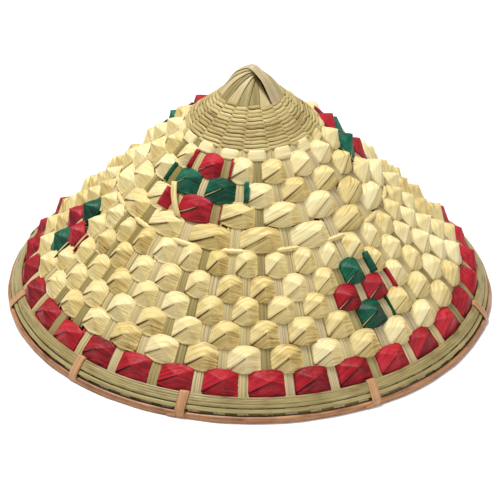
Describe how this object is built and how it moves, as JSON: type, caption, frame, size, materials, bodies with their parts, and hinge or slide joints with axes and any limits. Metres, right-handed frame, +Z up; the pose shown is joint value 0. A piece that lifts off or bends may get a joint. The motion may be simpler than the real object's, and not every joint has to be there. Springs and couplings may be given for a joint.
{
  "type": "woven conical hat",
  "caption": "wide conical hat of radial bamboo splints, folded straw wefts with red and green diamonds, twined cap and lashed bamboo rim",
  "frame": {"origin": "centre of the rim, on the plane the hat rests on", "axes": "+Z up through the apex, -Y towards the front, +X to the viewer's right"},
  "size_m": [0.4204, 0.4203, 0.2146],
  "materials": {
    "bamboo_splint": "split bamboo, tan to olive, satin",
    "straw": "natural straw strip, fibrous, soft sheen",
    "cap_straw": "fine twined straw, khaki",
    "red_straw": "dyed straw, crimson, fibrous sheen",
    "green_straw": "dyed straw, deep green, fibrous sheen",
    "green_bamboo": "bamboo skin, olive green, satin",
    "rattan": "rattan peel, brown, satin"
  },
  "bodies": {
    "root": {"crown_splint_1": "bamboo_splint", "crown_splint_2": "bamboo_splint", "crown_splint_3": "bamboo_splint", "crown_splint_4": "bamboo_splint", "crown_splint_5": "bamboo_splint", "crown_splint_6": "bamboo_splint", "crown_splint_7": "bamboo_splint", "crown_splint_8": "bamboo_splint", "upper_inserted_splints": "bamboo_splint", "lower_inserted_splints": "bamboo_splint", "edge_weft_red": "red_straw", "lower_weft_1": "straw", "lower_weft_2": "straw", "lower_weft_3": "straw", "lower_weft_4": "straw", "lower_weft_5": "straw", "upper_weft_1": "straw", "upper_weft_2": "straw", "upper_weft_3": "straw", "upper_weft_4": "straw", "upper_weft_5": "straw", "upper_diamond_1_low_red": "red_straw", "upper_diamond_1_green": "green_straw", "upper_diamond_1_top_red": "red_straw", "lower_diamond_1_low_green": "green_straw", "lower_diamond_1_red": "red_straw", "lower_diamond_1_top_green": "green_straw", "upper_diamond_2_low_red": "red_straw", "upper_diamond_2_green": "green_straw", "upper_diamond_2_top_red": "red_straw", "lower_diamond_2_low_green": "green_straw", "lower_diamond_2_red": "red_straw", "lower_diamond_2_top_green": "green_straw", "upper_diamond_3_low_red": "red_straw", "upper_diamond_3_green": "green_straw", "upper_diamond_3_top_red": "red_straw", "lower_diamond_3_low_green": "green_straw", "lower_diamond_3_red": "red_straw", "lower_diamond_3_top_green": "green_straw", "seam_cord": "straw", "cap_twining": "cap_straw", "outer_hoop": "green_bamboo", "narrow_hoop": "green_bamboo", "inner_hoop": "green_bamboo", "rattan_lashing_01": "rattan", "rattan_lashing_02": "rattan", "rattan_lashing_03": "rattan", "rattan_lashing_04": "rattan", "rattan_lashing_05": "rattan", "rattan_lashing_06": "rattan", "rattan_lashing_07": "rattan", "rattan_lashing_08": "rattan", "rattan_lashing_09": "rattan", "rattan_lashing_10": "rattan", "edge_strip": "rattan"}
  },
  "joints": []
}
